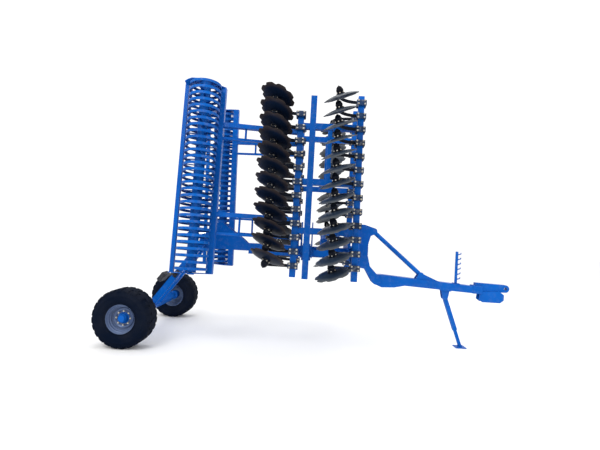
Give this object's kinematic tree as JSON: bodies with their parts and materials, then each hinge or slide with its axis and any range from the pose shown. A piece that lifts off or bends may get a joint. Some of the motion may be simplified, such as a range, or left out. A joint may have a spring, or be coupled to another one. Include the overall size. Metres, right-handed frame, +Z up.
{
  "type": "trailed folding disc harrow",
  "caption": "Trailed folding disc harrow: central beam with drawbar and transport axle, wings of notched discs and cage rollers folded upright for the road.",
  "frame": {"origin": "on the floor under the middle of the machine's box, wheels and jack foot at z = 0", "axes": "+X forward to the hitch, +Y to the machine's left, +Z up"},
  "size_m": [6.594, 2.877, 4.1502],
  "materials": {
    "blue_paint": "glossy machinery enamel, light dust and edge wear",
    "disc_steel": "dark hardened disc steel on painted beam and arms",
    "roller_steel": "painted welded hoops, semi-gloss",
    "tyre": "matt black flotation tyre",
    "rim_steel": "silver painted wheel disc",
    "chrome_rod": "polished hard chrome",
    "black_plastic": "matt black moulded board"
  },
  "bodies": {
    "frame": {"main_frame": "blue_paint", "rear_boom": "blue_paint", "headstock": "blue_paint", "drawbar": "blue_paint", "drawbar_tie_rod": "blue_paint", "tow_yoke": "blue_paint", "hose_comb": "blue_paint", "jack_bracket": "blue_paint"},
    "jack": {"jack_leg": "blue_paint"},
    "axle": {"transport_axle": "blue_paint", "axle_arms": "blue_paint", "left_lamp_board": "black_plastic", "right_lamp_board": "black_plastic"},
    "axle_barrel": {"axle_cylinder_barrel": "blue_paint"},
    "axle_rod": {"axle_cylinder_rod": "chrome_rod"},
    "left_wheel": {"left_tyre": "tyre", "left_rim": "rim_steel"},
    "left_wing": {"left_front_gang": "disc_steel", "left_rear_gang": "disc_steel", "left_mid_tube": "blue_paint", "left_outer_cross_tube": "blue_paint", "left_mid_cross_tube": "blue_paint", "left_inner_cross_tube": "blue_paint", "left_front_hinge_arm": "blue_paint", "left_rear_hinge_arm": "blue_paint", "left_roller_frame": "blue_paint", "left_upper_roller_arm": "blue_paint", "left_lower_roller_arm": "blue_paint"},
    "left_roller": {"left_roller": "roller_steel"},
    "left_fold_barrel": {"left_fold_cylinder_barrel": "blue_paint"},
    "left_fold_rod": {"left_fold_cylinder_rod": "chrome_rod"},
    "right_wheel": {"right_tyre": "tyre", "right_rim": "rim_steel"},
    "right_wing": {"right_front_gang": "disc_steel", "right_rear_gang": "disc_steel", "right_mid_tube": "blue_paint", "right_outer_cross_tube": "blue_paint", "right_mid_cross_tube": "blue_paint", "right_inner_cross_tube": "blue_paint", "right_front_hinge_arm": "blue_paint", "right_rear_hinge_arm": "blue_paint", "right_roller_frame": "blue_paint", "right_upper_roller_arm": "blue_paint", "right_lower_roller_arm": "blue_paint"},
    "right_roller": {"right_roller": "roller_steel"},
    "right_fold_barrel": {"right_fold_cylinder_barrel": "blue_paint"},
    "right_fold_rod": {"right_fold_cylinder_rod": "chrome_rod"}
  },
  "joints": [
    {"name": "jack_swing", "type": "hinge", "parent": "frame", "child": "jack", "pos_m": [2.21, 0, 0.86], "axis": [0, 1, 0], "range_deg": [0, 110]},
    {"name": "axle_lift", "type": "hinge", "parent": "frame", "child": "axle", "pos_m": [-2.03, 0, 1.55], "axis": [0, 1, 0], "range_deg": [0, 50]},
    {"name": "axle_barrel_swing", "type": "hinge", "parent": "frame", "child": "axle_barrel", "pos_m": [-1.62, 0, 1.78], "axis": [0, 1, 0], "range_deg": [0, 14.97]},
    {"name": "axle_rod_slide", "type": "slide", "parent": "axle_barrel", "child": "axle_rod", "axis": [0.993, 0, 0.1185], "range_m": [0, 0.20841]},
    {"name": "left_wheel_spin", "type": "hinge", "parent": "axle", "child": "left_wheel", "pos_m": [-2.86, 1.15, 0.437], "axis": [0, 1, 0], "continuous": true},
    {"name": "left_wing_fold", "type": "hinge", "parent": "frame", "child": "left_wing", "pos_m": [0, 0.45, 1.5], "axis": [-1, 0, 0], "range_deg": [0, 95]},
    {"name": "left_roller_spin", "type": "hinge", "parent": "left_wing", "child": "left_roller", "pos_m": [-1.94, 1.04772, 1.55229], "axis": [0, -0.0872, 0.9962], "continuous": true},
    {"name": "left_fold_barrel_swing", "type": "hinge", "parent": "frame", "child": "left_fold_barrel", "pos_m": [0.05, -0.38, 1.7], "axis": [-1, 0, 0], "range_deg": [0, 16.25]},
    {"name": "left_fold_rod_slide", "type": "slide", "parent": "left_fold_barrel", "child": "left_fold_rod", "axis": [0, 0.9806, 0.1961], "range_m": [0, 0.471]},
    {"name": "right_wheel_spin", "type": "hinge", "parent": "axle", "child": "right_wheel", "pos_m": [-2.86, -1.15, 0.437], "axis": [0, 1, 0], "continuous": true},
    {"name": "right_wing_fold", "type": "hinge", "parent": "frame", "child": "right_wing", "pos_m": [0, -0.45, 1.5], "axis": [1, 0, 0], "range_deg": [0, 95]},
    {"name": "right_roller_spin", "type": "hinge", "parent": "right_wing", "child": "right_roller", "pos_m": [-1.94, -1.04772, 1.55229], "axis": [0, 0.0872, 0.9962], "continuous": true},
    {"name": "right_fold_barrel_swing", "type": "hinge", "parent": "frame", "child": "right_fold_barrel", "pos_m": [0.25, 0.38, 1.7], "axis": [1, 0, 0], "range_deg": [0, 16.25]},
    {"name": "right_fold_rod_slide", "type": "slide", "parent": "right_fold_barrel", "child": "right_fold_rod", "axis": [0, -0.9806, 0.1961], "range_m": [0, 0.471]}
  ],
  "couplings": [
    {"joint": "axle_barrel_swing", "follows": "axle_lift", "ratio": 0.29745},
    {"joint": "axle_rod_slide", "follows": "axle_lift", "m_per_rad": 0.23825},
    {"joint": "left_fold_barrel_swing", "follows": "left_wing_fold", "ratio": 0.17002},
    {"joint": "left_fold_rod_slide", "follows": "left_wing_fold", "m_per_rad": 0.28376},
    {"joint": "right_fold_barrel_swing", "follows": "right_wing_fold", "ratio": 0.17002},
    {"joint": "right_fold_rod_slide", "follows": "right_wing_fold", "m_per_rad": 0.28376}
  ]
}
